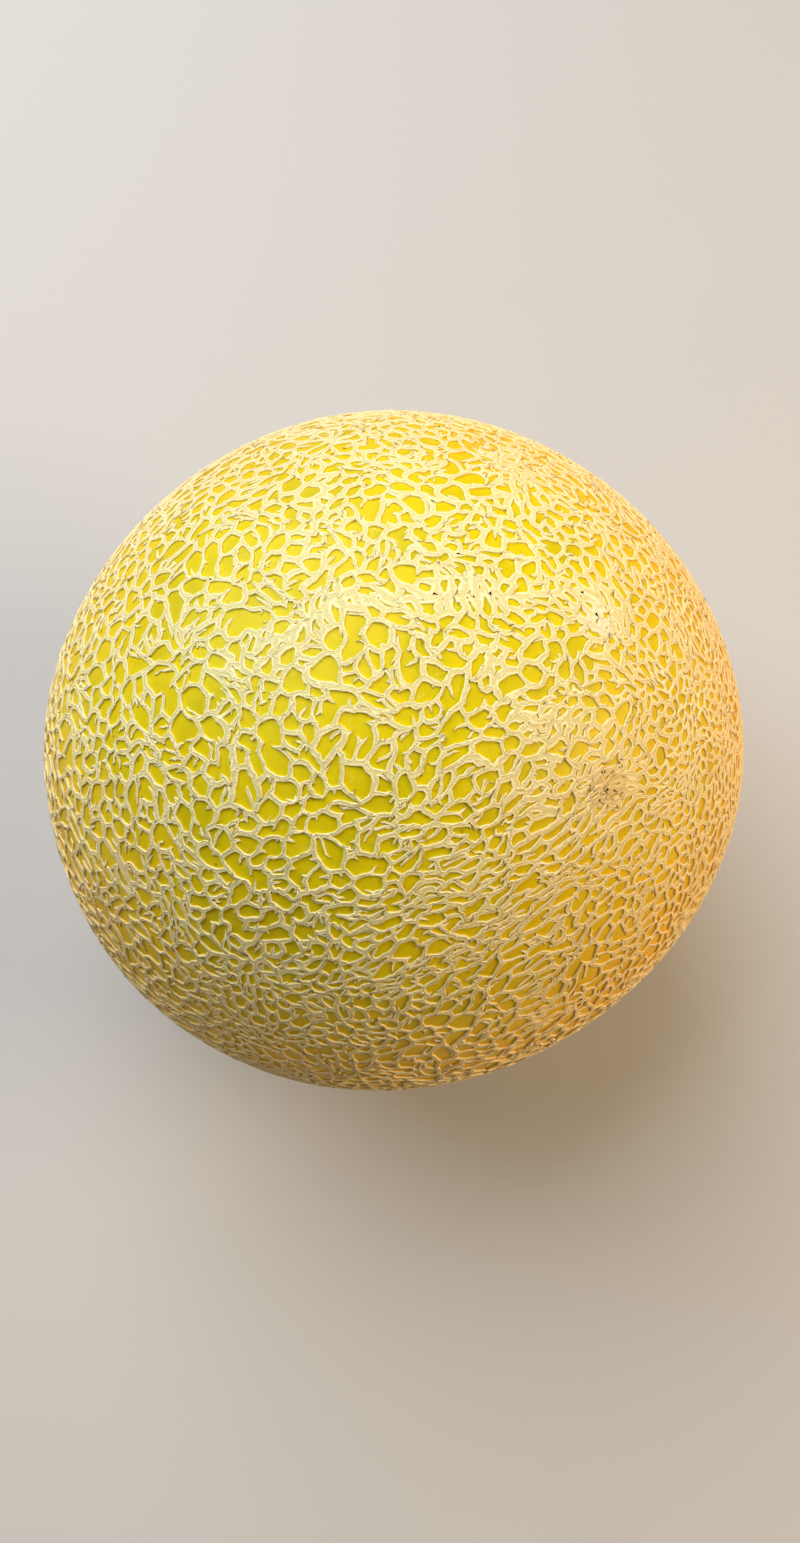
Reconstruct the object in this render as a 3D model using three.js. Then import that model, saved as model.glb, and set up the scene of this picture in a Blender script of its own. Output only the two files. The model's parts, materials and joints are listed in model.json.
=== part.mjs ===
// A netted melon lying on its side, grown in one piece: a nearly round body, the corky net
// raised from its rind, the two round marks at its ends, and a small flat spot underneath.
//
// Millimetres, +Z up. The stem end is at -X and the blossom end at +X. The origin is on the
// surface that the fruit rests on, under the middle of its box.

import * as THREE from "three";
import { ConvexHull } from "three/addons/math/ConvexHull.js";

// Half the body's extents under the net.
const SEMI_LENGTH = 73.0;
const SEMI_WIDTH = 70.6;
const SEMI_HEIGHT = 69.8;

// Slow waves round the upright axis that keep the body from being a true ellipsoid.
// share is the wave's height against the radius, and the first crest is at the turn `from`.
const BODY_WAVES = [
  { crests: 3, share: 0.0078, from: THREE.MathUtils.degToRad(-30) },
  { crests: 4, share: 0.0045, from: THREE.MathUtils.degToRad(-18) },
];

// The dimples round the two end marks. spread is in radians seen from the body's middle.
const DIMPLE_SHARE = 0.014;
const DIMPLE_SPREAD = 0.3;

// The net: its openings, their unevenness, and the ridges between them.
const OPENINGS = 478;
const JITTER = 0.4; // of the spacing between two openings
const RIDGE_HEIGHT = 1.2;
const TOP_HALF_WIDTH = 1.1;
const FOOT_HALF_WIDTH = 2.0;
const MOST_OF_OPENING = 0.62; // a small opening gives up no more than this to its ridges

// The net is drawn together towards the blossom end, and lies in streaks low on the front.
const CROWDING = 0.13;
const STREAK_MIDDLE = new THREE.Vector3(0.1, -0.72, 0.69).normalize();
const STREAK_ALONG = new THREE.Vector3(0.98, 0.18, 0.1).normalize();
const STREAK_SPREAD = 0.55;
const STREAK_SHARE = 0.35;

// Round marks that interrupt the net: each is one opening with even sides.
const REST = { towards: new THREE.Vector3(0, 0, -1), radius: 12, sides: 16 };
const STEM = { towards: new THREE.Vector3(-1, 0, 0), radius: 7, sides: 10, rim: 0.7, depth: 1.0 };
const BLOSSOM = { towards: new THREE.Vector3(1, 0, 0), radius: 4, sides: 7, rim: 0.3, depth: 0.4 };
const MARKS = [REST, STEM, BLOSSOM];

const SPACING = Math.sqrt((4 * Math.PI) / OPENINGS); // radians between two openings
const MARK_GAP = 0.7; // of the spacing, from a mark's own ring to the next opening
const GOLDEN_ANGLE = Math.PI * (3 - Math.sqrt(5));

// A repeatable number from -1 to 1 for the opening `index` and one of its channels.
function chance(index, channel) {
  const wave = Math.sin(index * 12.9898 + channel * 78.233) * 43758.5453;
  return 2 * (wave - Math.floor(wave)) - 1;
}

// The bell curve of the angle between two directions.
function bell(direction, middle, spread) {
  const angle = direction.angleTo(middle);
  return Math.exp(-((angle / spread) ** 2));
}

// Distance from the body's middle to its surface, in a direction.
function bodyRadius(direction) {
  const { x, y, z } = direction;
  const ellipsoid = 1 / Math.hypot(x / SEMI_LENGTH, y / SEMI_WIDTH, z / SEMI_HEIGHT);
  const turn = Math.atan2(y, x);
  const level = Math.hypot(x, y);
  let share = 1;
  for (const wave of BODY_WAVES) {
    share += wave.share * level ** wave.crests * Math.cos(wave.crests * (turn - wave.from));
  }
  for (const mark of [STEM, BLOSSOM]) {
    share -= DIMPLE_SHARE * bell(direction, mark.towards, DIMPLE_SPREAD);
  }
  return ellipsoid * share;
}

// An even direction moved to where the grown fruit has it.
function grown(direction) {
  const pull = STREAK_SHARE * bell(direction, STREAK_MIDDLE, STREAK_SPREAD);
  const along = direction.clone().sub(STREAK_MIDDLE).dot(STREAK_ALONG);
  const moved = direction.clone().addScaledVector(STREAK_ALONG, pull * along);
  moved.x += CROWDING;
  return moved.normalize();
}

// The even direction that grows to a given place, found by stepping towards it.
function evenFor(place) {
  const direction = place.clone();
  for (let step = 0; step < 40; step++) {
    direction.add(place).sub(grown(direction)).normalize();
  }
  return direction;
}

// A mark's own opening and the ring of openings whose borders make it an even polygon.
function markOpenings(mark) {
  const middle = evenFor(mark.towards);
  const side = new THREE.Vector3(0.36, 0.48, 0.8).cross(middle).normalize();
  const up = middle.clone().cross(side);
  const reach = (2 * mark.radius) / bodyRadius(mark.towards);
  const ring = [];
  for (let i = 0; i < mark.sides; i++) {
    const turn = (2 * Math.PI * i) / mark.sides;
    ring.push(
      middle
        .clone()
        .multiplyScalar(Math.cos(reach))
        .addScaledVector(side, Math.sin(reach) * Math.cos(turn))
        .addScaledVector(up, Math.sin(reach) * Math.sin(turn)),
    );
  }
  return { mark, middle, ring, reach };
}

// Every opening's middle: an even spiral, pushed about a little, round the marks.
function openingMiddles(marks) {
  const middles = marks.flatMap(({ middle, ring }) => [middle, ...ring]);
  for (let i = 0; i < OPENINGS; i++) {
    const z = 1 - (2 * i + 1) / OPENINGS;
    const level = Math.sqrt(1 - z * z);
    const turn = i * GOLDEN_ANGLE;
    const push = new THREE.Vector3(chance(i, 1), chance(i, 2), chance(i, 3));
    const middle = new THREE.Vector3(level * Math.cos(turn), level * Math.sin(turn), z)
      .addScaledVector(push, JITTER * SPACING)
      .normalize();
    const clear = marks.every(
      (one) => middle.angleTo(one.middle) > one.reach + MARK_GAP * SPACING,
    );
    if (clear) middles.push(middle);
  }
  return middles;
}

// The hull's triangles round each opening's middle, in order and turning left. Each triangle
// is a corner of the net, where three openings meet.
function cornersRound(hull) {
  const rings = new Map();
  for (const face of hull.faces) {
    for (const start of [face.edge, face.edge.next, face.edge.prev]) {
      const middle = start.vertex.point;
      if (rings.has(middle)) continue;
      const ring = [];
      let edge = start;
      do {
        ring.unshift(edge.face);
        edge = edge.next.twin;
      } while (edge !== start);
      rings.set(middle, ring);
    }
  }
  return rings;
}

// The point over a direction, raised from the body's surface.
function raised(direction, height) {
  return direction.clone().multiplyScalar(bodyRadius(direction) + height);
}

// The point over a direction at the level of the flat spot, which meets the ridges' tops.
function rested(direction) {
  const bottom = bodyRadius(REST.towards) + RIDGE_HEIGHT;
  const level = -bottom * Math.cos(REST.radius / bodyRadius(REST.towards));
  return direction.clone().multiplyScalar(level / direction.z);
}

// An opening's outline drawn in towards its middle by a width in millimetres.
function drawnIn(outline, width) {
  const centre = new THREE.Vector3();
  for (const corner of outline) centre.add(corner);
  centre.normalize();
  let reach = 0;
  for (const corner of outline) reach += corner.angleTo(centre) * bodyRadius(centre);
  const share = Math.min((width * outline.length) / reach, MOST_OF_OPENING);
  return outline.map((corner) => corner.clone().lerp(centre, share).normalize());
}

// The rind's surface: round each opening a rim at the ridges' height and a floor on the body,
// and between the openings the ridges' flat tops.
function rindGeometry() {
  const marks = MARKS.map(markOpenings);
  const hull = new ConvexHull().setFromPoints(openingMiddles(marks));
  const points = [];
  const triangles = [];
  const rims = new Map(); // opening's middle, then corner, to the index of a rim point
  const quad = (a, b, c, d) => triangles.push([a, b, c], [a, c, d]);
  const fan = (loop) => {
    for (let i = 2; i < loop.length; i++) triangles.push([loop[0], loop[i - 1], loop[i]]);
  };

  for (const [middle, ring] of cornersRound(hull)) {
    const mark = marks.find((one) => one.middle === middle)?.mark;
    const outline = ring.map((face) => grown(face.normal));
    const top = RIDGE_HEIGHT + (mark?.rim ?? 0);
    const rim = drawnIn(outline, TOP_HALF_WIDTH).map(
      (direction) => points.push(mark === REST ? rested(direction) : raised(direction, top)) - 1,
    );
    rims.set(middle, new Map(ring.map((face, i) => [face, rim[i]])));
    if (mark === REST) {
      fan(rim);
      continue;
    }
    const floor = drawnIn(outline, FOOT_HALF_WIDTH).map(
      (direction) => points.push(raised(direction, -(mark?.depth ?? 0))) - 1,
    );
    fan(floor);
    rim.forEach((point, i) => {
      const next = (i + 1) % rim.length;
      quad(point, rim[next], floor[next], floor[i]);
    });
  }

  const done = new Set();
  for (const face of hull.faces) {
    const edges = [face.edge, face.edge.next, face.edge.prev];
    triangles.push(edges.map((edge) => rims.get(edge.head().point).get(face)));
    done.add(face);
    for (const edge of edges) {
      const far = edge.twin.face;
      if (done.has(far)) continue;
      const from = rims.get(edge.tail().point);
      const to = rims.get(edge.head().point);
      quad(from.get(far), to.get(far), to.get(face), from.get(face));
    }
  }

  const geometry = new THREE.BufferGeometry().setFromPoints(points);
  geometry.setIndex(triangles.flat());
  return geometry;
}

// Puts the flat spot at height zero and the middle of the fruit's box over the origin.
function standOnOrigin(geometry) {
  geometry.computeBoundingBox();
  const { min, max } = geometry.boundingBox;
  geometry.translate(-(min.x + max.x) / 2, -(min.y + max.y) / 2, -min.z);
  geometry.computeVertexNormals();
  return geometry;
}

const rind = new THREE.MeshStandardMaterial({
  color: "#dcc860",
  roughness: 0.6,
  metalness: 0,
  flatShading: true,
});
const melon = new THREE.Mesh(standOnOrigin(rindGeometry()), rind);
melon.name = "melon";

const part = new THREE.Group();
part.add(melon);

export default part;
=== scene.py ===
# %% [markdown]
# # A netted melon, from its rind to its light
#
# The fruit is one nearly round body. Its smooth yellow skin cracks while it grows, and cork
# heals every crack, so the skin shows only in thousands of small openings of a raised net.
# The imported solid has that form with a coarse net. This script loads it as a fixed frame and
# puts the fine rind in its place: a skin, the net in six fields, and the scars at both ends.

# %% Load the solid and its record
import json

import bmesh
import bpy
import numpy as np
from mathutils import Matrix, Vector

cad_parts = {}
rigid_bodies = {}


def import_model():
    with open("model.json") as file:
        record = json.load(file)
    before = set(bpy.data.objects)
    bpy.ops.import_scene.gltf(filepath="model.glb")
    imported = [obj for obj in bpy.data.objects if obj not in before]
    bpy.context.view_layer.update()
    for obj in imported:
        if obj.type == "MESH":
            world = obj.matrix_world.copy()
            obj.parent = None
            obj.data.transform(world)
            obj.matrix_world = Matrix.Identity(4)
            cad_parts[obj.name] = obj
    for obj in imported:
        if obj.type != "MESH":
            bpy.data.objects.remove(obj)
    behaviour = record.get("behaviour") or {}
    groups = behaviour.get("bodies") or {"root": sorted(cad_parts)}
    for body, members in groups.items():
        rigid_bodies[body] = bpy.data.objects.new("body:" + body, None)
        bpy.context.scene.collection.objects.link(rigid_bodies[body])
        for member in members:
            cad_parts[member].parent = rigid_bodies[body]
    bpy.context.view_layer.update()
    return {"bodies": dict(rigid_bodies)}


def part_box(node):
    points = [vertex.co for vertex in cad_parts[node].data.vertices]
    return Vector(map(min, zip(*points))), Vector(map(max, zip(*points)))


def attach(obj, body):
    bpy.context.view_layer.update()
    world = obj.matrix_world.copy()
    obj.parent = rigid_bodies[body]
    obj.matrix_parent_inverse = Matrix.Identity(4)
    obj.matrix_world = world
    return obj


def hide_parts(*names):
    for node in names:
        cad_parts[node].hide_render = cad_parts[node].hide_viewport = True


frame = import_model()
NODE = "melon"
BODY = list(frame["bodies"])[0]

MM = 0.001
solid_low, solid_high = (np.array(corner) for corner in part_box(NODE))
print("the solid measures", np.round((solid_high - solid_low) / MM, 1), "mm")

# %% [markdown]
# ## The body under the net
#
# A melon could be sculpted, but its body is so close to an ellipsoid that a formula holds it:
# the distance from the middle to the surface, for any direction. Two slow waves round the
# upright axis make the outline a little uneven, and a dimple lies round each end. The same
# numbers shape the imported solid, so both keep one form.

# %% Body formula
SEMI_AXES = np.array([73.0, 70.6, 69.8]) * MM
BODY_WAVES = [(3, 0.0078, np.radians(-30)), (4, 0.0045, np.radians(-18))]
DIMPLE_SHARE = 0.014
DIMPLE_SPREAD = 0.3
STEM_END = np.array([-1.0, 0.0, 0.0])
BLOSSOM_END = np.array([1.0, 0.0, 0.0])
UNDERSIDE = np.array([0.0, 0.0, -1.0])


def unit(vectors):
    """Each vector divided by its own length."""
    return vectors / np.linalg.norm(vectors, axis=-1, keepdims=True)


def bell(directions, middle, spread):
    """The bell curve exp(-(angle / spread)^2) of the angle from each direction to the middle."""
    angle = np.arccos(np.clip(directions @ middle, -1, 1))
    return np.exp(-((angle / spread) ** 2))


def body_radius(directions):
    """An ellipsoid's radius, times one plus the waves round Z, less the dimples at both ends."""
    ellipsoid = 1 / np.linalg.norm(directions / SEMI_AXES, axis=-1)
    turn = np.arctan2(directions[..., 1], directions[..., 0])
    level = np.hypot(directions[..., 0], directions[..., 1])
    share = 1.0
    for crests, height, start in BODY_WAVES:
        share = share + height * level**crests * np.cos(crests * (turn - start))
    for end in (STEM_END, BLOSSOM_END):
        share = share - DIMPLE_SHARE * bell(directions, end, DIMPLE_SPREAD)
    return ellipsoid * share


def even_spiral(count):
    """Directions one golden angle apart in turn and evenly spaced along Z."""
    index = np.arange(count)
    z = 1 - (2 * index + 1) / count
    level = np.sqrt(1 - z * z)
    turn = index * np.pi * (3 - np.sqrt(5))
    return np.stack([level * np.cos(turn), level * np.sin(turn), z], axis=-1)


# %% Where the body's middle lies in the frame
SOLID_RIDGE = 1.2 * MM
REST_RADIUS = 12 * MM

probes = even_spiral(40_000)
probe_points = probes * (body_radius(probes) + SOLID_RIDGE)[:, None]
underside_radius = body_radius(UNDERSIDE)
middle_height = (underside_radius + SOLID_RIDGE) * np.cos(REST_RADIUS / underside_radius)
MIDDLE = -(probe_points.max(axis=0) + probe_points.min(axis=0)) / 2
MIDDLE[2] = middle_height
print("the body's middle is at", np.round(MIDDLE / MM, 2), "mm")


def placed(directions, height, lowest):
    """The point over each direction, raised from the body, and kept above a lowest level:
    the fruit's weight presses its underside flat."""
    points = MIDDLE + directions * (body_radius(directions) + height)[..., None]
    points[..., 2] = np.maximum(points[..., 2], lowest)
    return points


# %% [markdown]
# ## How the net spreads
#
# Net lines are cracks that stop each other, so they bound openings of uneven size. The
# borders between scattered seeds, a Voronoi pattern, look just like that. It is worked out
# on an even sphere first, and then drawn to where the fruit has it: finer towards the
# blossom end, and in long streaks low on the front where the rind has stretched.

# %% Even directions moved to their place on the fruit
CROWDING = 0.13
STREAK_MIDDLE = unit(np.array([-0.02, -0.67, 0.74]))
STREAK_ALONG = unit(np.array([0.98, 0.18, 0.1]))
STREAK_ACROSS = unit(np.cross(STREAK_MIDDLE, STREAK_ALONG))
STREAK_SPREAD = 0.62
STREAK_SHARE = 0.45
STREAK_PINCH = 0.42


def ripples(points, wavelength, seed, waves=14):
    """A sum of plane waves of one length that run in random directions, scaled to a spread of
    about one."""
    rng = np.random.default_rng(seed)
    across = unit(rng.normal(size=(waves, 3))) * (2 * np.pi / wavelength)
    start = rng.uniform(0, 2 * np.pi, waves)
    return np.sin(points @ across.T + start).sum(axis=-1) / np.sqrt(waves / 2)


def grown(directions):
    """Each even direction stretched along the streaks, pinched across them, and pulled
    towards the blossom end."""
    pull = bell(directions, STREAK_MIDDLE, STREAK_SPREAD)[..., None]
    offset = directions - STREAK_MIDDLE
    along = (offset @ STREAK_ALONG)[..., None] * STREAK_ALONG
    across = (offset @ STREAK_ACROSS)[..., None] * STREAK_ACROSS
    moved = directions + pull * (STREAK_SHARE * along - STREAK_PINCH * across)
    return unit(moved + CROWDING * BLOSSOM_END)


def even_for(place, steps=60):
    """The even direction that grows to a place, found by stepping towards it."""
    direction = place.copy()
    for _ in range(steps):
        direction = unit(direction + place - grown(direction))
    return direction


# %% Numbers of the openings
OPENINGS = 8900
JITTER = 0.47
KEPT_SHARE = 0.78
SUN_SIDE = unit(np.array([0.72, -0.3, 0.6]))
SUN_SPREAD = 0.6
SUNNY_SHARE = 0.22
NET_SEED = 7
STEM_RADIUS = 7 * MM
BLOSSOM_RADIUS = 4 * MM
MARK_GAP = 0.7
MARK_BORDER = 0.93

spacing = np.sqrt(4 * np.pi / OPENINGS)
print("openings lie about", np.round(spacing * SEMI_AXES[1] / MM, 1), "mm apart")

# %% [markdown]
# ## Main ridges
#
# A few cracks opened early and went on growing, so long ridges cross the fruit, wider than
# the rest. They could be tubes laid over the net, but those would cut through its openings.
# Instead pairs of seeds stand on both sides of each ridge, so that the net's own borders run
# along it, and the cork grows wider there. The ridges in view lie where the fruit has them,
# and those on its far side at random.

# %% Main ridges
SEEN_RIDGES = [
    ((-0.42, 0.0, 0.9), (-0.09, 0.04, 1.0), 0.6 * MM),
    ((-0.09, 0.04, 1.0), (0.2, -0.03, 0.98), 0.8 * MM),
    ((0.2, -0.03, 0.98), (0.55, -0.06, 0.83), 0.6 * MM),
    ((-0.31, -0.02, 0.95), (-0.15, -0.16, 0.98), 0.2 * MM),
    ((0.16, -0.14, 0.98), (0.26, -0.43, 0.87), 0.6 * MM),
    ((0.08, -0.4, 0.91), (0.21, -0.53, 0.82), 0.5 * MM),
    ((0.24, -0.35, 0.91), (0.4, -0.38, 0.83), 0.5 * MM),
    ((-0.17, 0.17, 0.97), (-0.03, 0.42, 0.91), 0.2 * MM),
    ((-0.54, -0.65, 0.53), (-0.13, -0.63, 0.76), 0.15 * MM),
    ((-0.13, -0.63, 0.76), (0.22, -0.56, 0.8), 0.15 * MM),
    ((-0.46, -0.75, 0.47), (0.08, -0.73, 0.67), 0.15 * MM),
]
HIDDEN_RIDGES = 22
HIDDEN_SIDE = np.array([0.0, 0.0, -0.6])
HIDDEN_LENGTHS = (0.25, 0.5)
HIDDEN_SIZES = (0.15, 0.4)
RIDGE_SPREAD = 0.025
RIDGE_STEP = 1.0
RIDGE_GAP = 0.5
RIDGE_SHIFTS = (0.25, 0.75)
RIDGE_GAPS = (0.8, 1.2)


def unseen_ridges():
    """Ridges like those in view, strewn at random over the far side."""
    rng = np.random.default_rng(NET_SEED + 5)
    starts = unit(rng.normal(size=(HIDDEN_RIDGES, 3)) + HIDDEN_SIDE)
    ways = np.cross(starts, rng.normal(size=starts.shape))
    ends = unit(starts + unit(ways) * rng.uniform(*HIDDEN_LENGTHS, (HIDDEN_RIDGES, 1)))
    sizes = rng.uniform(*HIDDEN_SIZES, HIDDEN_RIDGES) * MM
    return list(zip(starts, ends, sizes))


def even_ridges():
    """Each ridge's two ends as even directions, and its extra half width."""
    for start, end, size in SEEN_RIDGES + unseen_ridges():
        yield even_for(unit(np.array(start))), even_for(unit(np.array(end))), size


def from_ridge(directions, start, end):
    """The distance from each even direction to a ridge's stretch."""
    share = np.clip((directions - start) @ (end - start) / ((end - start) @ (end - start)), 0, 1)
    return np.linalg.norm(directions - (start + share[:, None] * (end - start)), axis=-1)


def ridge_growth(directions):
    """The extra half width on the main ridges, a bell curve across each."""
    growth = np.zeros(len(directions))
    for start, end, size in RIDGES:
        growth += size * np.exp(-((from_ridge(directions, start, end) / RIDGE_SPREAD) ** 2))
    return growth


def ridge_seeds(start, end, rng):
    """Pairs of seeds on both sides of a ridge, so that their borders run along it."""
    pairs = int(np.linalg.norm(end - start) / (RIDGE_STEP * spacing)) + 1
    share = ((np.arange(pairs) + rng.uniform(*RIDGE_SHIFTS, pairs)) / pairs)[:, None]
    middle = unit(start * (1 - share) + end * share)
    gap = spacing * RIDGE_GAP * rng.uniform(*RIDGE_GAPS, (pairs, 1))
    aside = unit(np.cross(start, end)) * gap
    return np.vstack([unit(middle + aside), unit(middle - aside)])


RIDGES = list(even_ridges())
print(len(RIDGES), "main ridges")

# %% Seeds at the marks, the ridges and everywhere else
OUTER_TURN = 0.35


def mark_seeds(end, radius):
    """The mark's middle and the reach of its border as even directions, a ring of seeds just
    inside the border, and a ring just outside it."""
    middle = even_for(end)
    edge = end + np.array([0.0, 0.6, 0.8]) * MARK_BORDER * radius / body_radius(end)
    border = np.linalg.norm(even_for(unit(edge)) - middle)
    sides = int(round(2 * np.pi * np.sin(border) / spacing))
    side = unit(np.cross([0.36, 0.48, 0.8], middle))
    rings = []
    for reach, start in ((border - spacing / 2, 0.0), (border + spacing / 2, OUTER_TURN)):
        turn = 2 * np.pi * (np.arange(sides) + start) / sides
        way = np.outer(np.cos(turn), side) + np.outer(np.sin(turn), np.cross(middle, side))
        rings.append(middle * np.cos(reach) + way * np.sin(reach))
    return middle, border + spacing / 2, *rings


def opening_seeds():
    """The even spiral, each seed pushed about, with the marks' own seeds set in before it: all
    inner rings first. Many seeds are dropped, but fewer on the sun side, where the net is
    finer. Also gives the number of the inner rings' seeds and of the marks' seeds."""
    rng = np.random.default_rng(NET_SEED)
    seeds = even_spiral(OPENINGS)
    seeds = unit(seeds + rng.uniform(-1, 1, seeds.shape) * JITTER * spacing)
    sunny = bell(grown(seeds), SUN_SIDE, SUN_SPREAD)
    seeds = seeds[rng.random(len(seeds)) < KEPT_SHARE + SUNNY_SHARE * sunny]
    for start, end, _ in RIDGES:
        seeds = seeds[from_ridge(seeds, start, end) > spacing]
    seeds = np.vstack([seeds] + [ridge_seeds(start, end, rng) for start, end, _ in RIDGES])
    marks = [mark_seeds(STEM_END, STEM_RADIUS), mark_seeds(BLOSSOM_END, BLOSSOM_RADIUS)]
    for middle, reach, _, _ in marks:
        seeds = seeds[seeds @ middle < np.cos(reach + MARK_GAP * spacing)]
    inner = np.vstack([inner for _, _, inner, _ in marks])
    outer = np.vstack([outer for _, _, _, outer in marks])
    return np.vstack([inner, outer, seeds]), len(inner), len(inner) + len(outer)


seeds, inner_seed_count, mark_seed_count = opening_seeds()
print(len(seeds), "openings,", mark_seed_count, "of them at the marks")

# %% Triangles between the seeds
def hull_triangles(directions):
    """The triangles of the directions' convex hull, turning left seen from outside. On a
    sphere these join each seed to its neighbours."""
    mesh = bpy.data.meshes.new("hull")
    mesh.from_pydata(directions.tolist(), [], [])
    hull = bmesh.new()
    hull.from_mesh(mesh)
    bmesh.ops.convex_hull(hull, input=hull.verts)
    bmesh.ops.triangulate(hull, faces=hull.faces)
    hull.to_mesh(mesh)
    hull.free()
    triangles = np.zeros(len(mesh.polygons) * 3, dtype=np.int64)
    mesh.polygons.foreach_get("vertices", triangles)
    bpy.data.meshes.remove(mesh)
    triangles = triangles.reshape(-1, 3)
    a, b, c = (directions[triangles[:, i]] for i in range(3))
    inside_out = np.einsum("ij,ij->i", np.cross(b - a, c - a), a) < 0
    triangles[inside_out] = triangles[inside_out][:, ::-1]
    return triangles


triangles = hull_triangles(seeds)
print(len(triangles), "triangles between the seeds")


# %% Corners and lines between the openings
def net_lines(directions, triangles):
    """One corner for each triangle, in its circle's middle, and one line for each pair of
    triangles that share a side. Also gives the two openings beside each line."""
    a, b, c = (directions[triangles[:, i]] for i in range(3))
    corners = unit(np.cross(b - a, c - a))
    start = triangles.ravel()
    end = np.roll(triangles, -1, axis=1).ravel()
    owner = np.repeat(np.arange(len(triangles)), 3)
    key = np.minimum(start, end) * len(directions) + np.maximum(start, end)
    order = np.argsort(key, kind="stable")
    lines = owner[order].reshape(-1, 2)
    beside = np.stack([start, end], axis=1)[order[::2]]
    return corners, lines, beside


def opened_marks(corners, lines, beside):
    """The net without the lines inside the marks, and the corners that are still in use."""
    kept = beside.max(axis=1) >= inner_seed_count
    used, ends = np.unique(lines[kept], return_inverse=True)
    return corners[used], ends.reshape(-1, 2), beside[kept]


corners, lines, beside = opened_marks(*net_lines(seeds, triangles))
print(len(corners), "corners and", len(lines), "lines")

# %% Relax the corners
RELAX_ROUNDS = 2
RELAX_SHARE = 0.4
CORNER_PUSH = 0.08


def relaxed(corners, lines):
    """Each corner drawn part of the way to the average of the corners it is joined to. Like
    the films of a foam, the shortest lines grow. A small push then makes the angles uneven
    again."""
    ends = lines.ravel()
    for _ in range(RELAX_ROUNDS):
        far = corners[lines[:, ::-1].ravel()]
        total = [np.bincount(ends, weights=far[:, axis], minlength=len(corners)) for axis in range(3)]
        drawn = unit(np.stack(total, axis=-1))
        corners = unit(corners + RELAX_SHARE * (drawn - corners))
    push = np.random.default_rng(NET_SEED + 6).uniform(-1, 1, corners.shape)
    return unit(corners + push * CORNER_PUSH * spacing)


corners = relaxed(corners, lines)
line_angles = np.linalg.norm(corners[lines[:, 0]] - corners[lines[:, 1]], axis=1)
print("a line is", np.round(np.median(line_angles) * SEMI_AXES[1] / MM, 2), "mm long by its median")

# %% [markdown]
# ## Broken lines and twigs
#
# A true net isn't made of whole polygons. Some cracks stopped half way and left stubs, and
# short twigs reach from the lines into the openings, a few of them forked. They could be
# laid on top as separate ridges, but then every root would show a seam. Here they are lines
# of the same net with a loose end, so that one surface runs through them all.

# %% Knots, lines and their weights
GROUP_SIZE = 2.8
GROUP_JITTER = 0.6
MAIN_WEIGHT = 1.12
MINOR_WEIGHT = 0.82
UNEVEN_WEIGHT = 0.18
TWIG_WEIGHT = 0.85
FORK_GIRTH = 0.75
TIP_GIRTH = 0.6


class Net:
    """Knots, the lines between them, and how thick the cork is at each of both."""

    def __init__(self, corners, lines, weight):
        self.knots = corners
        self.girth = np.ones(len(corners))
        self.lines = lines
        self.weight = weight

    def add_knots(self, directions, girth):
        """Adds knots and returns their numbers."""
        first = len(self.knots)
        self.knots = np.vstack([self.knots, directions])
        self.girth = np.concatenate([self.girth, np.full(len(directions), girth)])
        return np.arange(first, len(self.knots))

    def add_lines(self, start, end, weight):
        """Adds a line from each start knot to its end knot."""
        self.lines = np.vstack([self.lines, np.stack([start, end], axis=1)])
        self.weight = np.concatenate([self.weight, np.broadcast_to(weight, len(start))])

    def drop(self, lines):
        """Takes the lines with these numbers out."""
        self.lines = np.delete(self.lines, lines, axis=0)
        self.weight = np.delete(self.weight, lines)


def seed_groups(seeds, rng):
    """The number of the nearest of a few coarser seeds, for each seed."""
    coarse = even_spiral(int(len(seeds) / GROUP_SIZE))
    push = rng.uniform(-GROUP_JITTER, GROUP_JITTER, coarse.shape)
    coarse = unit(coarse + push * spacing * np.sqrt(GROUP_SIZE))
    return np.argmax(seeds @ coarse.T, axis=1)


def line_weights(beside, seeds, rng):
    """How thick the cork is on each line, and whether the line is a minor one, between two
    openings of one group."""
    group = seed_groups(seeds, rng)[beside]
    minor = group[:, 0] == group[:, 1]
    uneven = rng.uniform(1 - UNEVEN_WEIGHT, 1 + UNEVEN_WEIGHT, len(beside))
    return np.where(minor, MINOR_WEIGHT, MAIN_WEIGHT) * uneven, minor


# %% Stubs, twigs and dashes
SHORTEST_STUB = 0.18
LONGEST_STUB = 0.88
STUB_TURN = 0.3
SHORTEST_TWIG = 0.5
LONGEST_TWIG = 1.25
TWIG_TURN = 0.55
JOINT_PLACES = (0.3, 0.7)
FORK_SHARE = 0.2
FORK_AHEAD = 0.6
FORK_TURN = 0.8
FORK_LENGTHS = (0.4, 0.7)
DASH_SHARE = 0.05
DASH_PUSH = 0.14
DASH_REACH = 0.15


def tips(start, aim, share, sideways, rng):
    """Points a share of the way from start to aim, turned aside by up to a given share."""
    way = aim - start
    aside = np.cross(start, way) * rng.uniform(-sideways, sideways, len(start))[:, None]
    return unit(start + (way + aside) * share[:, None])


def leave_stubs(net, broken, rng):
    """A stub at either end of each broken line, where it is long enough to be seen."""
    first = rng.uniform(0, LONGEST_STUB, len(broken))
    second = rng.uniform(0, 1, len(broken)) * (LONGEST_STUB - first)
    for near, far, share in ((0, 1, first), (1, 0, second)):
        long = share > SHORTEST_STUB
        roots = net.lines[broken[long], near]
        aim = net.knots[net.lines[broken[long], far]]
        ends = tips(net.knots[roots], aim, share[long], STUB_TURN, rng)
        net.add_lines(roots, net.add_knots(ends, TIP_GIRTH), TWIG_WEIGHT)


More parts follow.
